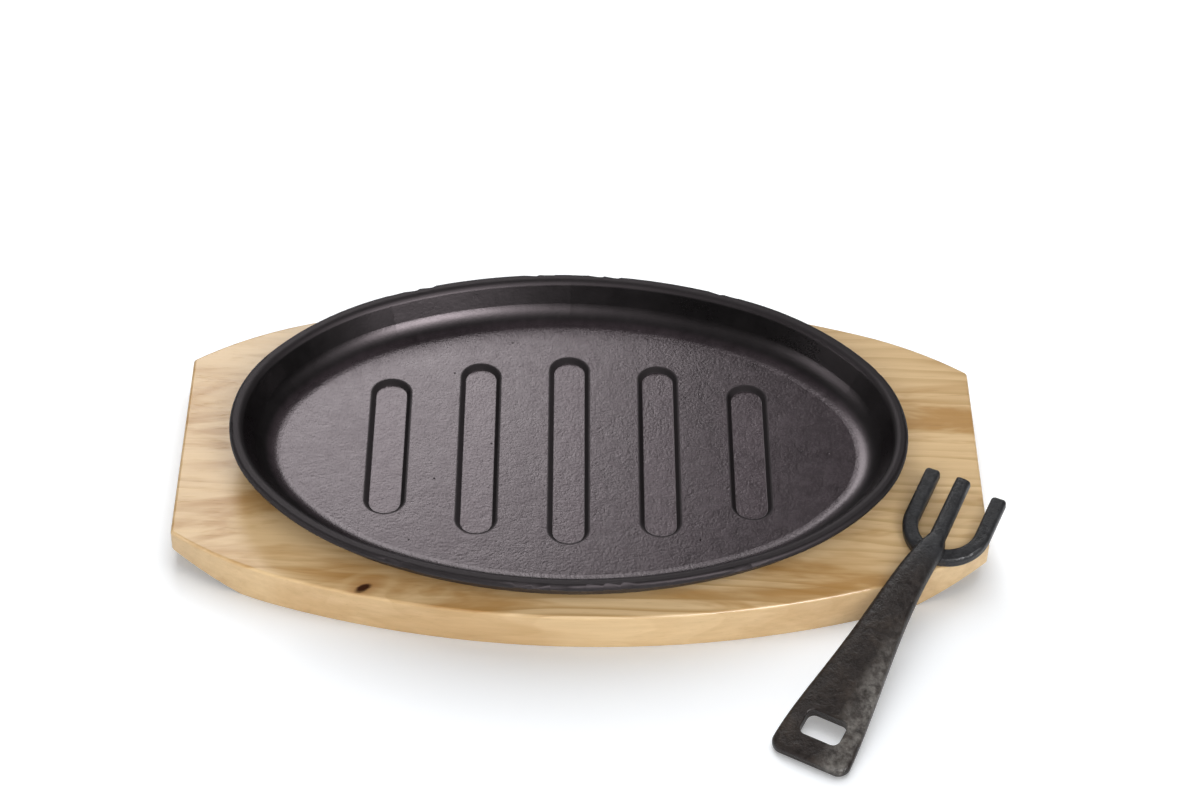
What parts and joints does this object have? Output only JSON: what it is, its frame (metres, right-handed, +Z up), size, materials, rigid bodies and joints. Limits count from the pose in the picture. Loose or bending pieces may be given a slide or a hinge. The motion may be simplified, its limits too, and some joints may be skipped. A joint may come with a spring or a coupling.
{
  "type": "serving pan",
  "caption": "Shallow oval cast iron serving pan with slotted floor, seated on a wooden board with a separate forked lift-off handle.",
  "frame": {"origin": "centre of the board's flat underside, on the table top", "axes": "+X along the board and the pan's long axis, +Y away from the diner, +Z up"},
  "size_m": [0.3275, 0.247, 0.0365],
  "materials": {
    "pan_iron": "matt seasoned cast iron, purplish grey floor, black wall",
    "board_wood": "pale oiled wood, grain along the board",
    "handle_iron": "brown-black cast iron, slightly rough"
  },
  "bodies": {
    "root": {"oval_pan": "pan_iron", "wooden_board": "board_wood", "lifting_handle": "handle_iron"}
  },
  "joints": []
}
